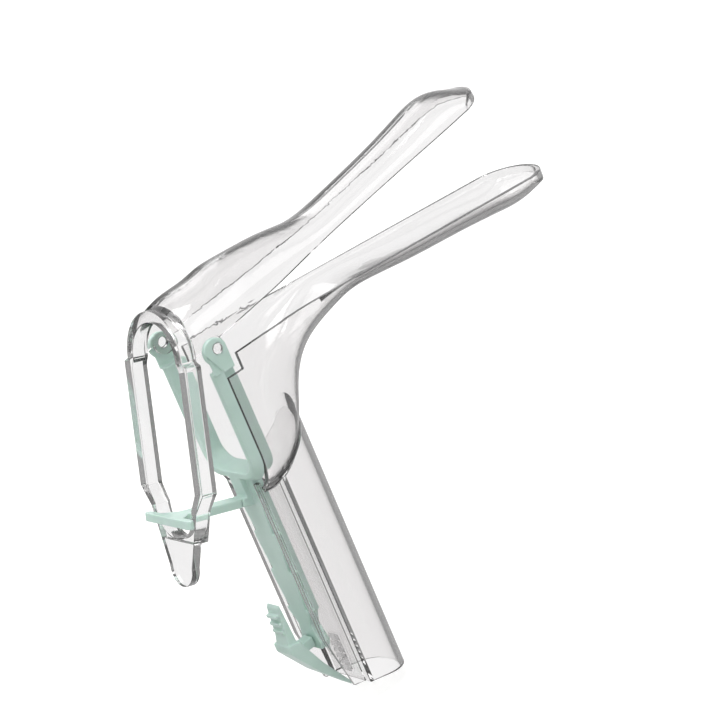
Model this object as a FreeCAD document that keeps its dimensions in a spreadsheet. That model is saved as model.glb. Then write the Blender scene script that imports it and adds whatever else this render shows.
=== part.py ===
import FreeCAD, Part
import math
import os
import Sketcher

# Bivalve speculum in five moulded pieces. Millimetres, +Z up along the handle, +X towards the blade
# tips, +Y to the left. The origin is the middle of the pivot axis with the yoke at its lowest.

SIZES = {
    # Lower blade: the line of its upper edges, its walls and its mouth round the yoke.
    "lower_tilt": 3.4,
    "lower_edge_drop": 3.3,
    "lower_wall": 1.9,
    "lower_half": 15.0,
    "lower_tip_radius": 15.2,
    "mouth_half": 18.4,
    "mouth_dip": 1.3,
    "mouth_depth": 54.4,
    "mouth_side": 34.5,
    "throat_place": 38.0,
    "mouth_gap": 0.3,
    "ear_room": 2.4,
    "ear_room_below": 2.6,
    # Upper blade: its opening above level, its walls and the rise of its edges at the mouth.
    "upper_tilt": 9.2,
    "upper_wall": 1.7,
    "upper_half": 12.5,
    "upper_tip_radius": 12.7,
    "crown_half": 16.0,
    "crown_rise": 1.6,
    "crown_place": 36.0,
    # Handle: a lipped channel behind, a rounded socket in front and a slanted foot.
    "handle_top": -31.3,
    "handle_wall": 1.9,
    "handle_half": 12.5,
    "socket_centre": 14.4,
    "socket_start": 6.3,
    "handle_length": 135.6,
    "foot_slant": 13.3,
    "channel_rear": 2.2,
    "channel_half": 9.4,
    "channel_wall": 1.5,
    "channel_depth": 8.6,
    "lip_thick": 1.3,
    "lip_reach": 1.0,
    "heel_drop": 115.0,
    "heel_slant": 10.3,
    "rack_drop": 119.0,
    "rack_pitch": 2.5,
    "rack_tooth": 0.6,
    "rack_half": 3.0,
    # Yoke: a U of L section, ears round the pivot, and a stem of T section.
    "yoke_rear": 4.4,
    "rim_depth": 3.4,
    "arm_depth": 8.2,
    "rim_outer": 18.0,
    "rim_bevel": 2.2,
    "web_outer": 16.2,
    "arm_inner": 13.6,
    "corner_drop": 40.6,
    "corner_side": 7.4,
    "ear_radius": 4.6,
    "ear_back": 1.0,
    "ear_low": 0.6,
    "ear_foot": 8.4,
    "ear_inner": 16.3,
    "ear_outer": 18.2,
    "ear_relief": 0.8,
    "arm_top_drop": 7.6,
    "stud_radius": 1.9,
    "stud_clearance": 0.05,
    "stud_proud": 0.4,
    "hub_radius": 4.2,
    "stem_drop": 119.5,
    "stem_thick": 3.7,
    "stem_clearance": 0.2,
    "stem_top_drop": 47.6,
    "root_drop": 59.5,
    "root_thick": 2.1,
    "tooth_drop": 59.4,
    "tooth_pitch": 15.5,
    "tooth_length": 13.2,
    "tooth_cut": 1.9,
    "neck_half": 3.7,
    "neck_rise": 9.5,
    "neck_length": 6.0,
    "lobe_half": 6.0,
    "lobe_rise": 3.0,
    "lobe_round": 1.4,
    # Lever frame, in its own plane tilted back from the handle.
    "lever_tilt": 18.3,
    "lever_back": 13.8,
    "lever_thick": 5.9,
    "arch_outer": 17.0,
    "arch_inner": 13.0,
    "arch_low": 3.0,
    "rail_outer": 19.4,
    "rail_inner": 14.4,
    "rail_top": 6.0,
    "rail_foot": 47.0,
    "waist_half": 14.0,
    "waist_drop": 53.5,
    "slot_radius": 11.0,
    "slot_drop": 52.6,
    "spade_half": 7.0,
    "spade_drop": 73.2,
    "spade_thick": 3.2,
    # Strap that reaches back through the lever frame and ends in a cross bar.
    "strap_drop": 56.7,
    "strap_half": 3.2,
    "strap_thick": 3.0,
    "strap_root": 11.4,
    "strap_gap": 0.3,
    "lug_depth": 5.7,
    "bar_half": 13.9,
    "bar_thick": 2.8,
    "bar_gap": 0.6,
    "bar_round": 0.9,
    "gusset_half": 7.0,
    "gusset_length": 4.5,
    # Release latch, hung behind the stem's foot. Heights are given from the foot of the slot.
    "latch_half": 4.7,
    "latch_gap": 0.3,
    "slot_foot_rise": 7.5,
    "slot_foot_back": 8.6,
    "pad_half": 3.6,
    "pad_height": 15.6,
    "pad_thick": 1.1,
    "pad_lean": 0.7,
    "pad_swell": 1.2,
    "ridge_height": 0.6,
    "ridge_width": 1.2,
    "ridge_pitch": 3.0,
    "ridge_start": 5.2,
    "heel_thick": 5.2,
    "heel_fall": 2.3,
    "heel_height": 3.3,
    "bridge_half": 2.4,
    "bridge_fall": 2.3,
    "bridge_thick": 3.7,
    "web_back": 3.5,
    "web_fall": 12.0,
    "web_thick": 2.4,
    "tip_thick": 1.6,
    "tip_fall": 26.4,
    "tip_half": 2.9,
    "tip_clear": 1.5,
}

# Trough sections from the mouth to the tip: place along X, half width, depth below or above the
# rim, and length of the straight side. A name stands for a size that several sections share.
LOWER = {
    "rear": ("mouth_rear", "mouth_half", "mouth_depth", "mouth_side"),
    "mouth": ("mouth_front", "mouth_half", "mouth_depth", "mouth_side"),
    "heel": (14.0, 17.6, 51.5, 22.5),
    "elbow": (21.5, 16.9, 42.0, 15.5),
    "bend": (30.0, 16.0, 23.0, 8.0),
    "throat": ("throat_place", 15.4, 15.2, 4.0),
    "neck": (48.0, 15.1, 10.1, 2.0),
    "waist": (58.0, "lower_half", 6.6, "blade_side"),
    "shank": (70.0, "lower_half", 5.7, "blade_side"),
    "middle": (93.0, "lower_half", 7.3, "blade_side"),
    "fore": (117.0, "lower_half", 8.0, "blade_side"),
    "belly": (135.0, "lower_half", 9.1, "blade_side"),
    "swell": (143.0, "lower_half", 8.9, "blade_side"),
    "upturn": (150.5, "lower_half", 6.6, "blade_side"),
    "tip": (158.0, "lower_half", 3.6, "blade_side"),
}
UPPER = {
    "rear": (-10.0, 15.7, 17.0, "crown_side"),
    "pivot": (0.0, "crown_half", 16.9, "crown_side"),
    "arch": (8.0, 15.85, 16.9, "crown_side"),
    "crown": (15.0, 15.5, 16.7, 2.5),
    "slope": (24.0, 14.8, 16.7, 2.0),
    "throat": ("crown_place", 13.6, 14.8, 1.5),
    "neck": (47.0, 12.7, 12.0, 1.0),
    "waist": (57.0, 12.0, 8.8, "blade_side"),
    "shank": (66.0, 11.7, 7.6, "blade_side"),
    "middle": (82.0, 11.6, 7.8, "blade_side"),
    "fore": (106.0, 12.0, 9.0, "blade_side"),
    "belly": (123.0, "upper_half", 10.6, "blade_side"),
    "swell": (131.0, "upper_half", 9.6, "blade_side"),
    "downturn": (137.0, "upper_half", 6.8, "blade_side"),
    "tip": (144.5, "upper_half", 2.9, "blade_side"),
}
SIZES["blade_side"] = 0.7
SIZES["crown_side"] = 3.0
for blade, rows in (("lower", LOWER), ("upper", UPPER)):
    for name, row in rows.items():
        for size, value in zip(("place", "half", "depth", "side"), row):
            if isinstance(value, float):
                SIZES[f"{blade}_{name}_{size}"] = value

doc = FreeCAD.newDocument("BivalveSpeculum")
sheet = doc.addObject("Spreadsheet::Sheet", "Sizes")
for index, (alias, value) in enumerate(SIZES.items(), start=1):
    sheet.set(f"A{index}", alias)
    sheet.set(f"B{index}", str(value))
    sheet.setAlias(f"B{index}", alias)

# Sizes that follow from others: where the stem, the channel and the yoke meet the mouth.
DERIVED = {
    "mouth_rear": "rim_depth - yoke_rear + mouth_gap",
    "mouth_front": "arm_depth - yoke_rear",
    "ear_front": "ear_radius - ear_back",
    "channel_inner": "channel_half - channel_wall",
    "channel_floor": "channel_depth - channel_rear",
    "lip_inner": "channel_half - channel_wall - lip_reach",
    "lip_front": "lip_thick - channel_rear",
    "socket_half": "handle_half - handle_wall",
    "lever_front": "lever_thick - lever_back",
}
for index, (alias, formula) in enumerate(DERIVED.items(), start=len(SIZES) + 1):
    sheet.set(f"A{index}", alias)
    sheet.set(f"B{index}", f"={formula}")
    sheet.setAlias(f"B{index}", alias)
doc.recompute()


def known(alias):
    """Value of a size on the sheet."""
    return float(getattr(sheet, alias))


class Dim:
    """A length held both as a number and as a formula on the sheet."""

    def __init__(self, value, text):
        self.value = value
        self.text = text

    def __add__(self, other):
        return Dim(self.value + dim(other).value, f"({self.text} + {dim(other).text})")

    def __sub__(self, other):
        return Dim(self.value - dim(other).value, f"({self.text} - {dim(other).text})")

    def __mul__(self, factor):
        return Dim(self.value * factor, f"({self.text} * {factor})")

    def __neg__(self):
        return self * -1


def dim(source):
    """A Dim from a size's name, a plain number or another Dim."""
    if isinstance(source, Dim):
        return source
    if isinstance(source, str):
        return Dim(known(source), f"Sizes.{source}")
    return Dim(float(source), str(float(source)))


def put(obj, x=0, y=0, z=0):
    for axis, where in zip("xyz", (x, y, z)):
        obj.setExpression(f"Placement.Base.{axis}", dim(where).text)


def box(name, x, y, z):
    """Box between two places along each axis."""
    obj = doc.addObject("Part::Box", name)
    for size, (low, high) in zip(("Length", "Width", "Height"), (x, y, z)):
        obj.setExpression(size, (dim(high) - low).text)
    put(obj, x[0], y[0], z[0])
    return obj


def rod(name, radius, axis, span, first, second):
    """Cylinder along one axis between two places, centred on the other two coordinates in order."""
    obj = doc.addObject("Part::Cylinder", name)
    obj.setExpression("Radius", dim(radius).text)
    obj.setExpression("Height", (dim(span[1]) - span[0]).text)
    about, angle = {"x": ((0, 1, 0), 90), "y": ((1, 0, 0), -90), "z": ((0, 0, 1), 0)}[axis]
    obj.Placement.Rotation = FreeCAD.Rotation(FreeCAD.Vector(*about), angle)
    spots = [first, second]
    spots.insert("xyz".index(axis), span[0])
    put(obj, *spots)
    return obj


def fuse(name, *shapes):
    obj = doc.addObject("Part::MultiFuse", name)
    obj.Shapes = list(shapes)
    return obj


def common(name, base, tool):
    obj = doc.addObject("Part::Common", name)
    obj.Base = base
    obj.Tool = tool
    return obj


def cut(name, base, *tools):
    obj = doc.addObject("Part::Cut", name)
    obj.Base = base
    obj.Tool = tools[0] if len(tools) == 1 else fuse(f"{name}Tools", *tools)
    return obj


def turned(name, source, angle, x=0, z=0):
    """Copy of an object turned about Y and moved."""
    obj = doc.addObject("Part::Compound", name)
    obj.Links = [source]
    obj.Placement = FreeCAD.Placement(FreeCAD.Vector(), FreeCAD.Rotation(FreeCAD.Vector(0, 1, 0), 1))
    obj.setExpression("Placement.Rotation.Angle", f"{dim(angle).text} * 1 deg")
    put(obj, x, 0, z)
    return obj


def mirrored(name, source):
    """Mirror image across the middle plane."""
    obj = doc.addObject("Part::Mirroring", name)
    obj.Source = source
    obj.Normal = FreeCAD.Vector(0, 1, 0)
    return obj


def outline(sketch, points):
    """Closed polygon whose every corner is dimensioned from the sketch's origin."""
    corners = [FreeCAD.Vector(dim(x).value, dim(y).value, 0) for x, y in points]
    for index, corner in enumerate(corners):
        sketch.addGeometry(Part.LineSegment(corner, corners[(index + 1) % len(corners)]), False)
    for index in range(len(corners)):
        sketch.addConstraint(Sketcher.Constraint("Coincident", index, 2, (index + 1) % len(corners), 1))
    for index, point in enumerate(points):
        for kind, where in zip(("DistanceX", "DistanceY"), point):
            rule = sketch.addConstraint(Sketcher.Constraint(kind, -1, 1, index, 1, dim(where).value))
            sketch.setExpression(f"Constraints[{rule}]", dim(where).text)


def slab(name, plane, points, start=None, length=None):
    """Body padded from one outline: across the XZ plane evenly, or from one place along the normal."""
    body = doc.addObject("PartDesign::Body", name)
    sketch = body.newObject("Sketcher::SketchObject", f"{name}Outline")
    sketch.AttachmentSupport = [([item for item in body.Origin.OriginFeatures if item.Role == plane][0], "")]
    sketch.MapMode = "FlatFace"
    if start is not None:
        sketch.setExpression("AttachmentOffset.Base.z", dim(start).text)
    outline(sketch, points)
    pad = body.newObject("PartDesign::Pad", f"{name}Pad")
    pad.Profile = sketch
    pad.SideType = "Symmetric" if start is None else "One side"
    pad.setExpression("Length", dim(length).text)
    return body


def both_sides(points):
    """Outline on the +Y side of the YZ plane, closed by its mirror image."""
    return points + [(-dim(y), z) for y, z in reversed(points)]


def both_flanks(points):
    """Outline on the +Y side of the XY plane, closed by its mirror image."""
    return points + [(x, -dim(y)) for x, y in reversed(points)]


# Troughs of the two blades: sections across X, each of two straight sides joined by two
# quarters of an ellipse, lofted from the mouth to the tip.

def section(x, half, rim, knee, spine):
    corners = [FreeCAD.Vector(x, y, z) for y, z in
               ((half, rim), (half, knee), (0, spine), (-half, knee), (-half, rim))]
    edges = [Part.LineSegment(corners[0], corners[1]).toShape()]
    for start, side in ((1, half), (2, -half)):
        quarter = Part.BezierCurve()
        quarter.setPoles([corners[start], FreeCAD.Vector(x, side, spine), corners[start + 1]])
        quarter.setWeight(2, math.sqrt(0.5))
        edges.append(quarter.toShape())
    edges.append(Part.LineSegment(corners[3], corners[4]).toShape())
    edges.append(Part.LineSegment(corners[4], corners[0]).toShape())
    return Part.Wire(edges)


def fade(x, start, end):
    """1 up to the start, falling to 0 at the end."""
    return min(1.0, max(0.0, (end - x) / (end - start)))


def lower_rim(x):
    slope = math.tan(math.radians(known("lower_tilt")))
    dip = known("mouth_dip") * fade(x, known("mouth_front"), known("throat_place"))
    return -known("lower_edge_drop") - slope * x - dip


def upper_rim(x):
    return known("crown_rise") * fade(x, 0.0, known("crown_place"))


def trough(blade, rows, rim_at, way, wall, lift):
    """Outer and inner solids; way is -1 for a trough below its rim and 1 for one above it."""
    outer = []
    inner = []
    for name, row in rows.items():
        x, half, depth, side = [known(value if isinstance(value, str) else f"{blade}_{name}_{size}")
                                for size, value in zip(("place", "half", "depth", "side"), row)]
        rim = rim_at(x)
        outer.append(section(x, half, rim, rim + way * side, rim + way * depth))
        inner.append(section(x, half - wall, rim - way * lift, rim + way * side, rim + way * (depth - wall)))
    shapes = []
    for label, wires in (("Outer", outer), ("Inner", inner)):
        obj = doc.addObject("Part::Feature", f"{blade.capitalize()}Trough{label}")
        obj.Shape = Part.makeLoft(wires, True, False)
        shapes.append(obj)
    return shapes


# Length by which joined pieces run into each other and cutting tools run past a face.
OVERLAP = 1.0
lower_outer, lower_inner = trough("lower", LOWER, lower_rim, -1, known("lower_wall"), OVERLAP)
upper_outer, upper_inner = trough("upper", UPPER, upper_rim, 1, known("upper_wall"), OVERLAP)

# Cutting tools reach this far past whatever they cut.
REACH = 60

below = -(dim("handle_length") + REACH)


def spoon(name, place, radius, wall, trough_solid):
    """Trough with its tip rounded in plan, a wall's thickness inside the tip's radius."""
    centre = dim(place) - radius
    around = cut(
        f"{name}Around",
        box(f"{name}Block", (centre, centre + REACH), (-REACH, REACH), (-REACH, REACH)),
        rod(f"{name}Tip", dim(radius) - wall, "z", (-REACH, REACH), centre, 0),
    )
    return cut(name, trough_solid, around)


# Lower blade: the trough, rounded in plan at its tip and closed round it by the same wall.
lower_trough = spoon("LowerTrough", "lower_tip_place", "lower_tip_radius", 0, lower_outer)
lower_hollow = spoon("LowerHollow", "lower_tip_place", "lower_tip_radius", "lower_wall", lower_inner)

# Handle: channel walls behind, socket in front, both down to the slanted foot.
bow_foot = -(dim("corner_drop") + "rim_outer" - "corner_side")
bow_floor = -(dim("corner_drop") + "arm_inner" - "corner_side")
channel_rear = -dim("channel_rear")


def socket_prism(name, rear, half):
    """Upright prism with a flat back and sides and a round front."""
    tall = (below, "handle_top")
    prism = fuse(
        f"{name}Prism",
        box(f"{name}Sides", (rear, "socket_centre"), (-dim(half), half), tall),
        rod(f"{name}Round", half, "z", tall, "socket_centre", 0),
    )
    return common(name, prism, box(f"{name}Front", (rear, REACH), (-REACH, REACH), tall))


handle_outer = fuse(
    "HandleOuter",
    box("ChannelWalls", (channel_rear, "socket_start"), (-dim("channel_half"), "channel_half"),
        (below, bow_foot - OVERLAP)),
    socket_prism("SocketWalls", "socket_start", "handle_half"),
)
socket_inner = socket_prism("SocketInner", dim("socket_start") + "handle_wall", "socket_half")
socket_space = cut("SocketSpace", socket_inner, lower_outer)
channel_space = fuse(
    "ChannelSpace",
    box("ChannelDeep", ("lip_front", "channel_floor"), (-dim("channel_inner"), "channel_inner"),
        (below, bow_floor)),
    box("ChannelMouth", (channel_rear - REACH, "lip_front"), (-dim("lip_inner"), "lip_inner"),
        (below, bow_floor)),
)
foot_cut = turned("FootCut", box("FootBlock", (-REACH, REACH), (-REACH, REACH), (-REACH * 2, 0)),
                  "foot_slant", 0, -dim("handle_length"))
heel_cut = turned("HeelCut", box("HeelBlock", (-REACH, 0), (-REACH, REACH), (-REACH, 0)),
                  -dim("heel_slant"), channel_rear, -dim("heel_drop"))
ear_space = box("EarSpace", (-REACH, dim("ear_front") + "ear_room"), (-REACH, REACH),
                (-(dim("ear_foot") + "ear_room_below"), REACH))
RACK_TEETH = 6
rack_points = [(dim("channel_floor") + "handle_wall", -dim("rack_drop"))]
for tooth in range(RACK_TEETH):
    root = -(dim("rack_drop") + dim("rack_pitch") * tooth)
    rack_points.append(("channel_floor", root))
    rack_points.append((dim("channel_floor") - "rack_tooth", root - "rack_pitch"))
rack_points.append((dim("channel_floor") + "handle_wall", root - "rack_pitch"))
rack = slab("Rack", "XZ_Plane", rack_points, None, dim("rack_half") * 2)

lower_walls = cut("LowerWalls", fuse("LowerSolid", lower_trough, handle_outer),
                  lower_hollow, socket_space, channel_space, ear_space)
lower_blade = cut("LowerBlade", fuse("LowerWithRack", lower_walls, rack), foot_cut, heel_cut)

# Upper blade: one half of the trough with its rounded tip, mirrored and cut off behind by the
# lever's plane.
upper_shell = cut(
    "UpperShell",
    spoon("UpperTroughTrimmed", "upper_tip_place", "upper_tip_radius", 0, upper_outer),
    spoon("UpperHollow", "upper_tip_place", "upper_tip_radius", "upper_wall", upper_inner),
    box("UpperLeft", (-REACH, dim("upper_tip_place") + REACH), (0, REACH), (-REACH, REACH)),
)
upper_trough = turned("UpperTrough", fuse("UpperWhole", upper_shell, mirrored("UpperMirrored", upper_shell)),
                      -dim("upper_tilt"))

# Lever frame: an arch over the mouth, two rails and a spade, all in the tilted plane.
lever_back = -dim("lever_back")
arch_foot = -dim("arch_low")
arch = cut(
    "Arch",
    rod("ArchOuter", "arch_outer", "x", (lever_back, "lever_front"), 0, arch_foot),
    rod("ArchInner", "arch_inner", "x", (lever_back - OVERLAP, dim("lever_front") + OVERLAP), 0, arch_foot),
    box("ArchBelow", (lever_back - OVERLAP, dim("lever_front") + OVERLAP), (-REACH, REACH), (-REACH, arch_foot)),
)
frame_points = both_sides([
    ("arch_outer", arch_foot),
    ("rail_outer", arch_foot - OVERLAP),
    ("rail_outer", -dim("rail_foot")),
    ("waist_half", -dim("waist_drop")),
    ("spade_half", -dim("spade_drop")),
])
slot_points = both_sides([
    ("arch_inner", arch_foot + OVERLAP),
    ("arch_inner", arch_foot),
    ("rail_inner", -dim("rail_top")),
    ("rail_inner", -dim("rail_foot")),
    ("slot_radius", -dim("slot_drop")),
])
lever_frame = cut(
    "LeverFrame",
    fuse(
        "LeverSolid",
        slab("LeverPlate", "YZ_Plane", frame_points, lever_back, "lever_thick"),
        rod("SpadeRound", "spade_half", "x", (lever_back, "lever_front"), 0, -dim("spade_drop")),
    ),
    slab("LeverSlot", "YZ_Plane", slot_points, lever_back - OVERLAP, dim("lever_thick") + OVERLAP * 2),
    rod("SlotRound", "slot_radius", "x", (lever_back - OVERLAP, dim("lever_front") + OVERLAP), 0, -dim("slot_drop")),
    box("SpadeHollow", (lever_back + "spade_thick", dim("lever_front") + OVERLAP), (-REACH, REACH),
        (-REACH * 2, -(dim("slot_drop") + "slot_radius" + OVERLAP))),
)
lever = turned("Lever", fuse("LeverWithArch", arch, lever_frame), "lever_tilt")
lever_trim = turned(
    "LeverTrim",
    box("LeverTrimBlock", (-REACH * 2, lever_back + "upper_wall"), (-REACH, REACH), (-REACH, REACH)),
    "lever_tilt",
)
crown = cut("CrownTrimmed", upper_trough, lever_trim)

# Studs on hubs inside the mouth.
hub_inner = dim("crown_half") - "upper_wall"
hubs = []
for side, name in ((1, "Left"), (-1, "Right")):
    hub_span = (hub_inner, "crown_half") if side == 1 else (-dim("crown_half"), -hub_inner)
    stud_end = dim("ear_outer") + "stud_proud"
    stud_span = (hub_inner, stud_end) if side == 1 else (-stud_end, -hub_inner)
    hubs.append(rod(f"Hub{name}", "hub_radius", "y", hub_span, 0, 0))
    hubs.append(rod(f"Stud{name}", "stud_radius", "y", stud_span, 0, 0))
upper_blade = fuse("UpperBlade", crown, lever, *hubs)

# Yoke bow: one L section, carried up both arms, round two corners and straight across below.
yoke_rear = -dim("yoke_rear")
rim_front = yoke_rear + "rim_depth"
bow_section = [
    (yoke_rear, dim("arm_inner")),
    (yoke_rear, dim("rim_outer") - "rim_bevel"),
    (rim_front, dim("rim_outer")),
    (rim_front, dim("web_outer")),
    ("mouth_front", dim("web_outer")),
    ("mouth_front", dim("arm_inner")),
]
arm_section = doc.addObject("Sketcher::SketchObject", "ArmSection")
put(arm_section, 0, 0, -dim("corner_drop"))
outline(arm_section, bow_section)
corner = doc.addObject("Part::Revolution", "CornerLeft")
corner.Source = arm_section
corner.Axis = FreeCAD.Vector(-1, 0, 0)
corner.Angle = 90
corner.Solid = True
corner.setExpression("Base.y", dim("corner_side").text)
corner.setExpression("Base.z", (-dim("corner_drop")).text)
arm = doc.addObject("Part::Extrusion", "ArmLeft")
arm.Base = arm_section
arm.DirMode = "Custom"
arm.Dir = FreeCAD.Vector(0, 0, 1)
arm.Solid = True
arm.setExpression("LengthFwd", (dim("corner_drop") - "arm_top_drop").text)
side = fuse("SideLeft", arm, corner)
bow_run = slab("BowRun", "XZ_Plane", [(x, -(y - "corner_side" + "corner_drop")) for x, y in bow_section], None,
               dim("corner_side") * 2)

# Ears: rounded tabs outside the upper blade, stepped where the rim runs out of them.
ear_back = -dim("ear_back")
ear_low = -dim("ear_low")
ear_foot = -dim("ear_foot")
ear_solid = fuse(
    "EarSolid",
    box("EarPlate", (yoke_rear, "ear_front"), ("ear_inner", "ear_outer"), (ear_foot, ear_low)),
    rod("EarRound", "ear_radius", "y", ("ear_inner", "ear_outer"), ear_back, ear_low),
)
ear_step_points = [
    (yoke_rear - OVERLAP, ear_low + OVERLAP),
    (rim_front, ear_foot),
    (rim_front, ear_foot - OVERLAP),
    (yoke_rear - OVERLAP, ear_foot - OVERLAP),
]
ear_steps = slab("EarSteps", "XZ_Plane", ear_step_points, None, REACH)
ear_core = box("EarCore", (-REACH, REACH), (-dim("ear_outer") + "ear_relief", dim("ear_outer") - "ear_relief"),
               (-REACH, REACH))
ear = cut("EarLeft", ear_solid, cut("EarStep", ear_steps, ear_core))

# Stem: T section between the channel's lips, with long ratchet teeth and a lobe at its foot.
stem_neck = dim("lip_inner") - "stem_clearance"
stem_flange = dim("channel_inner") - "stem_clearance"
stem_front = channel_rear + "stem_thick"
stem_foot = -dim("stem_drop")
stem_top = -dim("stem_top_drop")
neck_middle = stem_foot + "neck_rise"
neck_start = neck_middle + "neck_length"
foot_points = both_sides([
    (stem_neck, neck_start + OVERLAP),
    (stem_neck, neck_start),
    (dim("neck_half") + "lobe_round", neck_middle + "lobe_rise"),
    ("neck_half", neck_middle),
    (dim("lobe_half") - "lobe_round", stem_foot + "lobe_rise" + "lobe_rise"),
    ("lobe_half", stem_foot + "lobe_rise"),
    (dim("lobe_half") - "lobe_round", stem_foot),
])
stem_solid = fuse(
    "StemSolid",
    box("StemNeck", (channel_rear, stem_front), (-stem_neck, stem_neck), (neck_start, stem_top)),
    box("StemFlange", (dim("lip_front") + "stem_clearance", stem_front), (-stem_flange, stem_flange),
        (neck_start, stem_top)),
    box("StemRoot", (channel_rear - "root_thick", stem_front), (-dim("strap_half"), "strap_half"),
        (-dim("root_drop"), stem_top)),
    slab("StemFoot", "YZ_Plane", foot_points, channel_rear, "stem_thick"),
)
STEM_TEETH = 3
tooth_cuts = []
for tooth in range(STEM_TEETH):
    tooth_top = -(dim("tooth_drop") + dim("tooth_pitch") * tooth)
    tooth_end = tooth_top - "tooth_length"
    wedge = [
        (stem_flange + OVERLAP, tooth_top),
        (stem_neck, tooth_top),
        (stem_neck - "tooth_cut", tooth_end),
        (stem_flange + OVERLAP, tooth_end),
    ]
    left = slab(f"ToothLeft{tooth + 1}", "YZ_Plane", wedge, channel_rear - OVERLAP,
                dim("lip_thick") + "stem_clearance" + OVERLAP)
    tooth_cuts += [left, mirrored(f"ToothRight{tooth + 1}", left)]
stem = cut("Stem", stem_solid, *tooth_cuts)

# Strap: a tongue square to the lever, spread by gussets into a round-ended bar behind it. Its lug
# stands on the stem.
strap_low = -(dim("strap_drop") + dim("strap_thick") * 0.5)
strap_high = strap_low + "strap_thick"
bar_front = lever_back - "bar_gap"
bar_rear = bar_front - "bar_thick"
lug_front = dim("strap_root") + "lug_depth"
lug = turned("Lug", box("LugBlock", (dim("strap_root") + "strap_gap", lug_front), (-dim("strap_half"), "strap_half"),
                        (strap_low, strap_high)), "lever_tilt")
strap_points = both_flanks([
    ("strap_root", "strap_half"),
    (bar_front + "gusset_length", "strap_half"),
    (bar_front, "gusset_half"),
    (bar_front, dim("bar_half") - "bar_round"),
    (bar_front - "bar_round", "bar_half"),
    (bar_rear + "bar_round", "bar_half"),
    (bar_rear, dim("bar_half") - "bar_round"),
])
angle_strap = turned("AngleStrap", slab("StrapPlate", "XY_Plane", strap_points, strap_low, "strap_thick"),
                     "lever_tilt")

yoke_solid = fuse("YokeSolid", side, mirrored("SideRight", side), bow_run, ear, mirrored("EarRight", ear), stem, lug)
stud_bore = rod("StudBore", dim("stud_radius") + "stud_clearance", "y", (-REACH, REACH), 0, 0)
yoke = cut("Yoke", yoke_solid, stud_bore)

# Release latch: a ridged pad and a long web in one piece, on a short bridge behind the stem's foot.
slot_foot = stem_foot + "slot_foot_rise"
slot_back = -dim("slot_foot_back")
pad_top = slot_foot + "pad_height"
pad_foot = slot_foot - "bridge_fall"
pad_front = slot_back - "pad_lean"
pad_rear = pad_front - "pad_lean" - "pad_thick"
heel_foot = slot_foot - "heel_fall"
heel_top = heel_foot + "heel_height"
heel_back = slot_back - "heel_thick"
web_knee = slot_foot - "web_fall"
web_rear = -dim("web_back") - "web_thick"
tip_front = dim("channel_floor") - "rack_tooth" - "tip_clear"
tip_foot = slot_foot - "tip_fall"
web_points = [
    (slot_back, slot_foot),
    (slot_back + "pad_lean", pad_foot),
    (-dim("web_back"), web_knee),
    (tip_front, tip_foot + "tip_thick"),
    (tip_front, tip_foot),
    (web_rear, web_knee - "web_thick"),
    (heel_back, heel_foot),
    (heel_back, heel_top - "ridge_height"),
    (heel_back + "ridge_height", heel_top),
]
pad_points = [
    (pad_front - "pad_lean", pad_top),
    (pad_front, slot_foot + "pad_lean"),
    (slot_back, slot_foot),
    (slot_back, pad_foot),
    (heel_back + "ridge_height", heel_top - "ridge_height"),
    (heel_back + "ridge_height", heel_top),
    (pad_rear - "pad_swell", slot_foot + "ridge_start" - "ridge_width"),
    (pad_rear, pad_top - "ridge_width"),
]
latch_parts = [
    slab("LatchWeb", "XZ_Plane", web_points, None, dim("latch_half") * 2),
    slab("LatchPad", "XZ_Plane", pad_points, None, dim("pad_half") * 2),
    box("LatchBridge", (slot_back + "pad_lean", channel_rear - "latch_gap"), (-dim("bridge_half"), "bridge_half"),
        (pad_foot - "bridge_thick", pad_foot)),
]
RIDGES = 3
for ridge in range(RIDGES):
    ridge_low = slot_foot + "ridge_start" + dim("ridge_pitch") * ridge
    latch_parts.append(box(f"Ridge{ridge + 1}", (pad_rear - "pad_swell" - "ridge_height", pad_front - "pad_lean"),
                           (-dim("pad_half") + "ridge_height", dim("pad_half") - "ridge_height"),
                           (ridge_low, ridge_low + "ridge_width")))
tip_side = [
    (dim("latch_half") + OVERLAP, web_knee),
    ("latch_half", web_knee),
    ("tip_half", tip_foot - OVERLAP),
    (dim("latch_half") + OVERLAP, tip_foot - OVERLAP),
]
tip_left = slab("TipSideLeft", "YZ_Plane", tip_side, -REACH, REACH * 2)
release_latch = cut("ReleaseLatch", fuse("LatchSolid", *latch_parts), tip_left, mirrored("TipSideRight", tip_left))

doc.recompute()

NODES = {
    "lower_blade": lower_blade,
    "upper_blade": upper_blade,
    "yoke": yoke,
    "angle_strap": angle_strap,
    "release_latch": release_latch,
}
for obj in doc.Objects:
    if "Invalid" in obj.State or "Error" in obj.State:
        raise RuntimeError(f"{obj.Name} did not recompute: {obj.State}")
os.makedirs("parts", exist_ok=True)
for label, obj in NODES.items():
    obj.Label = label
    shape = obj.Shape
    if shape.isNull() or not shape.isValid():
        raise RuntimeError(f"{label} has no valid shape")
    shape.exportStep(f"parts/{label}.step")
    room = shape.BoundBox
    print(f"{label}: {len(shape.Solids)} solid, {shape.Volume:.0f} mm3")
    print(f"  {room.XMin:.1f} {room.XMax:.1f} {room.YMin:.1f} {room.YMax:.1f} {room.ZMin:.1f} {room.ZMax:.1f}")
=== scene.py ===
import math

import bmesh
import bpy
from mathutils import Matrix, Vector
from mathutils.bvhtree import BVHTree
from mathutils.interpolate import poly_3d_calc


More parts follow.
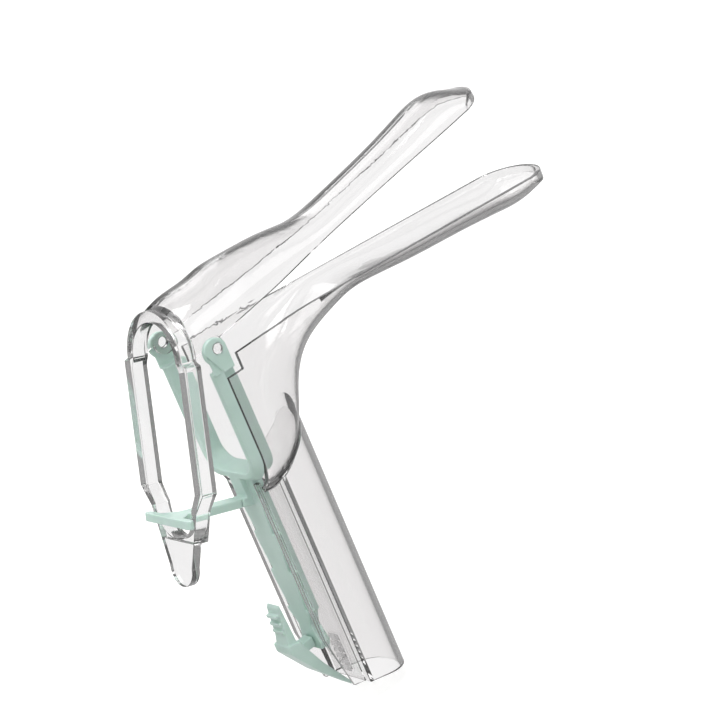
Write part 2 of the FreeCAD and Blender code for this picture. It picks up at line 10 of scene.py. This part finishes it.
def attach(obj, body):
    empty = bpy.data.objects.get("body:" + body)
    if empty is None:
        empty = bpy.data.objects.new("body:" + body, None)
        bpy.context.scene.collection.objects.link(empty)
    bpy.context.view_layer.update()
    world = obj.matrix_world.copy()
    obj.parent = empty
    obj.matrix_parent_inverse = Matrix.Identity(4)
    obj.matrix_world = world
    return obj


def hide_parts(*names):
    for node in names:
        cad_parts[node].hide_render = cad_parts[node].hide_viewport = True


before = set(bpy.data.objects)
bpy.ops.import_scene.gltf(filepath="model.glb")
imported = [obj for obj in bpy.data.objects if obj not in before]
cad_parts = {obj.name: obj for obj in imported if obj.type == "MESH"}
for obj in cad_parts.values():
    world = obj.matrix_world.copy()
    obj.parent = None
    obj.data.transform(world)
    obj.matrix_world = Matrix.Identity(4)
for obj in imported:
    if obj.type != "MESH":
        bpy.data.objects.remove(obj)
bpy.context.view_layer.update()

# The camera stands behind, above and to the right of the speculum, rolled as the photographer
# held it.
camera_place = (-0.3981, -0.7575, 0.2788)
camera_right = (0.72412, -0.58784, -0.36068)
camera_up = (0.48891, 0.06867, 0.86963)
camera_back = (-0.48644, -0.80605, 0.33713)
lens_mm = 135.9
sensor_mm = 36.0

camera = bpy.data.objects.new("camera", bpy.data.cameras.new("camera"))
bpy.context.scene.collection.objects.link(camera)
camera.data.lens = lens_mm
camera.data.sensor_width = sensor_mm
camera.data.clip_start = 0.01
camera.matrix_world = Matrix((
    (camera_right[0], camera_up[0], camera_back[0], camera_place[0]),
    (camera_right[1], camera_up[1], camera_back[1], camera_place[1]),
    (camera_right[2], camera_up[2], camera_back[2], camera_place[2]),
    (0, 0, 0, 1),
))
bpy.context.scene.camera = camera


# Studio: a white paper sweep under the handle's foot, lit mainly from overhead by large soft
# boxes. The plastic mirrors a ring of striped cards, and what is seen bent through it darkens
# towards a low dark screen, as the sides of a room do.
def srgb(hexa):
    """Linear colour of an sRGB hex value."""
    channels = [int(hexa[i:i + 2], 16) / 255 for i in (1, 3, 5)]
    return [c / 12.92 if c <= 0.04045 else ((c + 0.055) / 1.055) ** 2.4 for c in channels] + [1.0]


def add_node(tree, kind, links=(), **settings):
    """Adds a shader node; a setting names an input by its name or number, or a property."""
    node = tree.nodes.new(kind)
    for name, value in settings.items():
        label = name.replace("_", " ").strip()
        if hasattr(node, name):
            setattr(node, name, value)
        elif label.isdigit():
            node.inputs[int(label)].default_value = value
        else:
            node.inputs[label].default_value = value
    for source, target in links:
        tree.links.new(source, node.inputs[target])
    return node


def set_ramp(node, stops):
    """Gives a colour ramp its stops, which are pairs of a position and a colour."""
    elements = node.color_ramp.elements
    for number, (position, colour) in enumerate((stops[0], stops[-1])):
        elements[number].position = position
        elements[number].color = colour
    for position, colour in stops[1:-1]:
        elements.new(position).color = colour


# Light that runs on inside a clear wall comes out sideways and finds the dark sides of the room,
# so those paths see side_light and the others the white background.
background = 0.96
side_light = 0.25


def escaping(tree, rays, open_light):
    """Strength of open_light, or of side_light for light that was mirrored inside a clear wall."""
    trapped = add_node(tree, "ShaderNodeMath",
                       [(rays.outputs["Glossy Depth"], 0), (rays.outputs["Transmission Depth"], 1)],
                       operation="MULTIPLY")
    return add_node(tree, "ShaderNodeMapRange", [(trapped.outputs[0], "Value")],
                    To_Min=open_light, To_Max=side_light)


# The paper glows a little to the camera, so that it stays white round the object.
floor_height = -0.1455
floor_size = 6.0
paper_glow = 0.72

paper = bpy.data.materials.new("white_paper_sweep")
paper.use_nodes = True
tree = paper.node_tree
tree.nodes.clear()
rays = add_node(tree, "ShaderNodeLightPath")
matte = add_node(tree, "ShaderNodeBsdfDiffuse", Color=srgb("#BABAB8"))
glow = add_node(tree, "ShaderNodeEmission", Color=srgb("#FFFFFF"), Strength=paper_glow)
lit = add_node(tree, "ShaderNodeAddShader", [(matte.outputs[0], 0), (glow.outputs[0], 1)])
paper_light = escaping(tree, rays, background)
behind = add_node(tree, "ShaderNodeEmission", [(paper_light.outputs["Result"], "Strength")],
                  Color=srgb("#FFFFFF"))
direct = add_node(tree, "ShaderNodeMixShader",
                  [(rays.outputs["Is Camera Ray"], 0), (matte.outputs[0], 1), (lit.outputs[0], 2)])
bounced = add_node(tree, "ShaderNodeMath",
                   [(rays.outputs["Is Transmission Ray"], 0), (rays.outputs["Is Glossy Ray"], 1)],
                   operation="MAXIMUM")
through = add_node(tree, "ShaderNodeMixShader",
                   [(bounced.outputs[0], 0), (direct.outputs[0], 1), (behind.outputs[0], 2)])
add_node(tree, "ShaderNodeOutputMaterial", [(through.outputs[0], "Surface")])

sweep = bpy.data.meshes.new("sweep")
half = floor_size / 2
sweep.from_pydata([(-half, -half, floor_height), (half, -half, floor_height),
                   (half, half, floor_height), (-half, half, floor_height)], [], [(0, 1, 2, 3)])
floor = bpy.data.objects.new("floor", sweep)
bpy.context.scene.collection.objects.link(floor)
sweep.materials.append(paper)

for name, spot, side, power in (
    ("overhead", (-0.2, -0.15, 1.3), 1.0, 13.0),
    ("side", (0.6, -1.1, 0.6), 0.7, 2.0),
    ("rear", (0.3, 1.1, 0.9), 0.9, 3.0),
):
    lamp = bpy.data.lights.new(name, "AREA")
    lamp.shape = "SQUARE"
    lamp.size = side
    lamp.energy = power
    softbox = bpy.data.objects.new(name, lamp)
    softbox.location = spot
    softbox.rotation_euler = (-Vector(spot)).to_track_quat("-Z", "Y").to_euler()
    bpy.context.scene.collection.objects.link(softbox)

# The room: striped cards for mirrored light, a dark screen low round the room for bent light, even
# light for matte faces, brighter inside clear walls, and white for the camera. The screen's heights
# are the upward share of a direction.
card_count = 6
card_dark = 0.05
card_light = 0.95
card_edges = (0.2, 0.9)
screen_low = (0.13, 0.18)
screen_high = (0.5, 0.8)
room_light = 0.62
walled_light = 1.1
dark = (card_dark, card_dark, card_dark, 1.0)
light = (card_light, card_light, card_light, 1.0)

world = bpy.data.worlds.new("studio")
bpy.context.scene.world = world
world.use_nodes = True
tree = world.node_tree
tree.nodes.clear()
rays = add_node(tree, "ShaderNodeLightPath")
around = add_node(tree, "ShaderNodeTexCoord")
turn = add_node(tree, "ShaderNodeTexGradient", [(around.outputs["Generated"], "Vector")],
                gradient_type="RADIAL")
turns = add_node(tree, "ShaderNodeMath", [(turn.outputs["Fac"], 0)], operation="MULTIPLY",
                 _1=card_count * math.tau)
wave = add_node(tree, "ShaderNodeMath", [(turns.outputs[0], 0)], operation="SINE")
cards = add_node(tree, "ShaderNodeMapRange", [(wave.outputs[0], "Value")], From_Min=card_edges[0],
                 From_Max=card_edges[1], To_Min=card_light, To_Max=card_dark)
height = add_node(tree, "ShaderNodeSeparateXYZ", [(around.outputs["Generated"], "Vector")])
room_strength = escaping(tree, rays, 1.0)
screen = add_node(tree, "ShaderNodeValToRGB", [(height.outputs["Z"], "Fac")])
set_ramp(screen, ((screen_low[0], light), (screen_low[1], dark),
                  (screen_high[0], dark), (screen_high[1], light)))
walled = add_node(tree, "ShaderNodeMapRange", [(rays.outputs["Transmission Depth"], "Value")],
                  To_Min=room_light, To_Max=walled_light)
even = add_node(tree, "ShaderNodeEmission", [(walled.outputs["Result"], "Strength")])
mirrored = add_node(tree, "ShaderNodeEmission", [(cards.outputs["Result"], "Strength")])
bent = add_node(tree, "ShaderNodeEmission", [(screen.outputs["Color"], "Color"),
                                             (room_strength.outputs["Result"], "Strength")])
white = add_node(tree, "ShaderNodeEmission", Color=srgb("#FFFFFF"), Strength=1.0)
surroundings = even
for ray, seen in (("Is Glossy Ray", mirrored), ("Is Transmission Ray", bent),
                  ("Diffuse Depth", even), ("Is Camera Ray", white)):
    surroundings = add_node(tree, "ShaderNodeMixShader",
                            [(rays.outputs[ray], 0), (surroundings.outputs[0], 1),
                             (seen.outputs[0], 2)])
add_node(tree, "ShaderNodeOutputWorld", [(surroundings.outputs[0], "Surface")])
bpy.context.scene.view_settings.view_transform = "Standard"


# Lower blade with its funnel and handle: one clear polystyrene moulding from a polished mould.
# Its base colour is painted darker the more a wall is seen edge-on, a painted shade standing in for
# the dark lines that bent light draws along its edges; its edges are also slightly rounded, which
# gathers light into thin dark lines.
clear = bpy.data.materials.new("clear_polystyrene")
clear.use_nodes = True
tree = clear.node_tree
skin = tree.nodes["Principled BSDF"]
facing = add_node(tree, "ShaderNodeLayerWeight", Blend=0.5)
# Painted shade: the base colour goes from near white to near black as a wall turns edge-on to the
# view.
painted_edge_shade = add_node(tree, "ShaderNodeValToRGB", [(facing.outputs["Facing"], "Fac")])
set_ramp(painted_edge_shade, ((0.55, srgb("#FDFCFC")), (0.67, srgb("#EFEDED")), (0.75, srgb("#A8A6A6")),
                 (0.84, srgb("#4A4949")), (0.93, srgb("#141515"))))
tree.links.new(painted_edge_shade.outputs["Color"], skin.inputs["Base Color"])
flow_mm = 14
solid = add_node(tree, "ShaderNodeTexCoord")
flow = add_node(tree, "ShaderNodeTexNoise", [(solid.outputs["Object"], "Vector")],
                Scale=1000 / flow_mm, Detail=1.0)
ripple = add_node(tree, "ShaderNodeBump", [(flow.outputs["Fac"], "Height")], Strength=0.06,
                  Distance=0.0004)
tree.links.new(ripple.outputs["Normal"], skin.inputs["Normal"])
skin.inputs["Roughness"].default_value = 0.03
skin.inputs["IOR"].default_value = 1.5
skin.inputs["Transmission Weight"].default_value = 0.97

# How the edges are rounded: which ones are sharp enough, how near a folded place they have to
# stay sharp, and how far a face may turn from the mould's before it counts as folded.
edge_mm = 0.3
weld_gap = 2e-6
flat_degrees = 1
sharp_degrees = 28
crowded_reach = 0.001
folded_below = 0.2
tries = 3
touching_gap = 2e-5


def bevelled(node_name, edge, crowded):
    """A node's faces joined up and its sharp edges rounded, except near the crowded places."""
    form = bmesh.new()
    form.from_mesh(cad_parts[node_name].data)
    bmesh.ops.remove_doubles(form, verts=form.verts, dist=weld_gap)
    surface = BVHTree.FromBMesh(form)
    bmesh.ops.dissolve_limit(form, angle_limit=math.radians(flat_degrees), verts=form.verts,
                             edges=form.edges)
    sharp = []
    for line in form.edges:
        middle = (line.verts[0].co + line.verts[1].co) / 2
        reach = max(crowded_reach, line.calc_length() / 2 + edge)
        apart = all((middle - place).length > reach for place in crowded)
        if line.calc_face_angle(0) > math.radians(sharp_degrees) and apart:
            sharp.append(line)
    bmesh.ops.bevel(form, geom=sharp, offset=edge, offset_type="OFFSET", segments=2, profile=0.5,
                    affect="EDGES", clamp_overlap=False, miter_outer="ARC")
    for vert in form.verts:
        spot, normal, index, distance = surface.find_nearest(vert.co)
        if distance > edge / 2:
            vert.co = spot
    form.normal_update()
    folded = []
    for face in form.faces:
        centre = face.calc_center_median()
        spot, normal, index, distance = surface.find_nearest(centre)
        if face.normal.dot(normal) < folded_below:
            folded.append(centre)
    return form, folded


def polish(mesh, mould):
    """Turns a mesh's normals to those of the mould's true curved faces, and across each rounded
    edge from one face's to the next."""
    mould.calc_loop_triangles()
    places = [vert.co for vert in mould.vertices]
    faces = BVHTree.FromPolygons(places, [tuple(tri.vertices) for tri in mould.loop_triangles])
    normals = []
    for face in mesh.polygons:
        for corner in face.loop_indices:
            vert = mesh.vertices[mesh.loops[corner].vertex_index]
            touching = faces.find_nearest_range(vert.co, touching_gap)
            if not touching:
                normals.append(vert.normal.copy())
                continue
            spot, flat, index, distance = max(touching, key=lambda hit: hit[1].dot(face.normal))
            tri = mould.loop_triangles[index]
            shares = poly_3d_calc([places[i] for i in tri.vertices], spot)
            normal = Vector()
            for share, loop in zip(shares, tri.loops):
                normal += share * mould.corner_normals[loop].vector
            normals.append(normal.normalized())
    mesh.normals_split_custom_set(normals)


def rounded(node_name, name, finish):
    """Piece with a node's shape and rounded edges. Edges that stand too close together for the
    rounding, which would fold over itself there, stay sharp."""
    crowded = []
    for attempt in range(tries):
        form, folded = bevelled(node_name, edge_mm / 1000, crowded)
        crowded += folded
    bmesh.ops.triangulate(form, faces=form.faces)
    mesh = bpy.data.meshes.new(name)
    form.to_mesh(mesh)
    form.free()
    mesh.shade_smooth()
    mesh.materials.append(finish)
    polish(mesh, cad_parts[node_name].data.copy())
    piece = bpy.data.objects.new(name, mesh)
    bpy.context.scene.collection.objects.link(piece)
    return piece


lower = rounded("lower_blade", "lower_blade_moulding", clear)
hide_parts("lower_blade")
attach(lower, "lower")

# Upper blade with its arch, lever and studs: a second moulding of the same clear polystyrene,
# snapped by its studs into the yoke's ears.
upper = rounded("upper_blade", "upper_blade_moulding", clear)
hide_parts("upper_blade")
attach(upper, "upper")

# Yoke with its stem: mint polypropylene, moulded with a fine satin skin, so its edges are soft
# and light bleeds a little through its thin walls.
mint = bpy.data.materials.new("mint_polypropylene")
mint.use_nodes = True
tree = mint.node_tree
skin = tree.nodes["Principled BSDF"]
cloud_mm = 9
grain_mm = 0.5
solid = add_node(tree, "ShaderNodeTexCoord")
cloud = add_node(tree, "ShaderNodeTexNoise", [(solid.outputs["Object"], "Vector")],
                 Scale=1000 / cloud_mm, Detail=2.0)
tint = add_node(tree, "ShaderNodeValToRGB", [(cloud.outputs["Fac"], "Fac")])
set_ramp(tint, ((0.3, srgb("#BFD8CF")), (0.7, srgb("#C8DFD7"))))
tree.links.new(tint.outputs["Color"], skin.inputs["Base Color"])
grain = add_node(tree, "ShaderNodeTexNoise", [(solid.outputs["Object"], "Vector")],
                 Scale=1000 / grain_mm)
satin = add_node(tree, "ShaderNodeBump", [(grain.outputs["Fac"], "Height")], Strength=0.08,
                 Distance=0.0001)
tree.links.new(satin.outputs["Normal"], skin.inputs["Normal"])
skin.inputs["Roughness"].default_value = 0.35
skin.inputs["IOR"].default_value = 1.49
skin.inputs["Subsurface Weight"].default_value = 0.2
skin.inputs["Subsurface Radius"].default_value = (0.002, 0.003, 0.002)
skin.inputs["Subsurface Scale"].default_value = 1.0


def softened(node_name, name, grid_mm, passes, finish):
    """Piece with a node's shape, its edges worn round by remeshing and smoothing."""
    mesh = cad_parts[node_name].data.copy()
    mesh.name = name
    mesh.materials.clear()
    mesh.materials.append(finish)
    piece = bpy.data.objects.new(name, mesh)
    bpy.context.scene.collection.objects.link(piece)
    remesh = piece.modifiers.new("even_skin", "REMESH")
    remesh.mode = "VOXEL"
    remesh.voxel_size = grid_mm / 1000
    remesh.use_smooth_shade = True
    smooth = piece.modifiers.new("round_edges", "SMOOTH")
    smooth.iterations = passes
    smooth.factor = 0.5
    return piece


yoke = softened("yoke", "yoke_moulding", grid_mm=0.28, passes=4, finish=mint)
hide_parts("yoke")
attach(yoke, "yoke")

# Angle strap: moulded in one with the stem, so it is of the same mint polypropylene. It is
# thinner than the yoke, so its edges are rounded on a finer grid.
strap = softened("angle_strap", "angle_strap_moulding", grid_mm=0.22, passes=6, finish=mint)
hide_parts("angle_strap")
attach(strap, "strap")

# Release latch: also one with the stem, on a short bridge that bends when the pad is pressed. Of
# the same mint polypropylene.
latch = softened("release_latch", "release_latch_moulding", grid_mm=0.22, passes=7, finish=mint)
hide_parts("release_latch")
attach(latch, "latch")
